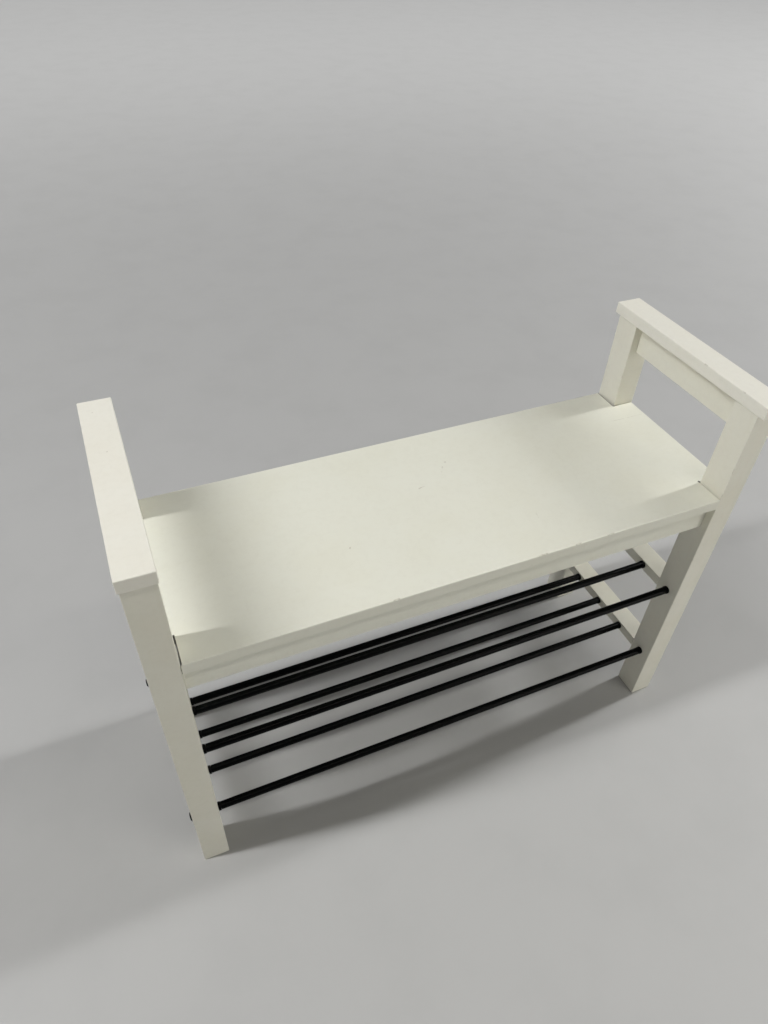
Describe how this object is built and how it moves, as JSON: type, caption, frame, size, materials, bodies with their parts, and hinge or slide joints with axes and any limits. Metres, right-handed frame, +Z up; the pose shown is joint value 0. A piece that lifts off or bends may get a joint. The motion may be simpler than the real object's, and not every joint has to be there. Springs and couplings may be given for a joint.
{
  "type": "shoe storage bench",
  "caption": "Painted wooden bench with arm rests at both ends, a notched flat seat, and two open tiers of black steel rods below for shoes.",
  "frame": {"origin": "on the floor under the middle of the bench's bounding box", "axes": "+X along the bench's width, to the right seen from the front; +Y from the front to the rear; +Z up"},
  "size_m": [0.8544, 0.316, 0.65],
  "materials": {
    "painted_wood": "cream white satin paint",
    "rod_enamel": "black satin enamel",
    "plug_plastic": "black moulded plastic",
    "bolt_steel": "blackened steel",
    "nut_zinc": "zinc plated steel"
  },
  "bodies": {
    "root": {"front_apron": "painted_wood", "left_arm_cap": "painted_wood", "left_arm_rail": "painted_wood", "left_front_apron_bolt": "bolt_steel", "left_front_barrel_nut": "nut_zinc", "left_front_leg": "painted_wood", "left_front_rod_bolt": "bolt_steel", "left_lower_shelf_rail": "painted_wood", "left_rear_apron_bolt": "bolt_steel", "left_rear_barrel_nut": "nut_zinc", "left_rear_leg": "painted_wood", "left_rear_rod_bolt": "bolt_steel", "left_seat_rail": "painted_wood", "left_upper_shelf_rail": "painted_wood", "lower_rod_1": "rod_enamel", "lower_rod_1_left_plug": "plug_plastic", "lower_rod_1_right_plug": "plug_plastic", "lower_rod_2": "rod_enamel", "lower_rod_2_left_plug": "plug_plastic", "lower_rod_2_right_plug": "plug_plastic", "lower_rod_3": "rod_enamel", "lower_rod_3_left_plug": "plug_plastic", "lower_rod_3_right_plug": "plug_plastic", "lower_rod_4": "rod_enamel", "lower_rod_4_left_plug": "plug_plastic", "lower_rod_4_right_plug": "plug_plastic", "lower_rod_5": "rod_enamel", "lower_rod_5_left_plug": "plug_plastic", "lower_rod_5_right_plug": "plug_plastic", "rear_apron": "painted_wood", "right_arm_cap": "painted_wood", "right_arm_rail": "painted_wood", "right_front_apron_bolt": "bolt_steel", "right_front_barrel_nut": "nut_zinc", "right_front_leg": "painted_wood", "right_front_rod_bolt": "bolt_steel", "right_lower_shelf_rail": "painted_wood", "right_rear_apron_bolt": "bolt_steel", "right_rear_barrel_nut": "nut_zinc", "right_rear_leg": "painted_wood", "right_rear_rod_bolt": "bolt_steel", "right_seat_rail": "painted_wood", "right_upper_shelf_rail": "painted_wood", "seat_panel": "painted_wood", "upper_rod_1": "rod_enamel", "upper_rod_1_left_plug": "plug_plastic", "upper_rod_1_right_plug": "plug_plastic", "upper_rod_2": "rod_enamel", "upper_rod_2_left_plug": "plug_plastic", "upper_rod_2_right_plug": "plug_plastic", "upper_rod_3": "rod_enamel", "upper_rod_3_left_plug": "plug_plastic", "upper_rod_3_right_plug": "plug_plastic", "upper_rod_4": "rod_enamel", "upper_rod_4_left_plug": "plug_plastic", "upper_rod_4_right_plug": "plug_plastic", "upper_rod_5": "rod_enamel", "upper_rod_5_left_plug": "plug_plastic", "upper_rod_5_right_plug": "plug_plastic"}
  },
  "joints": []
}
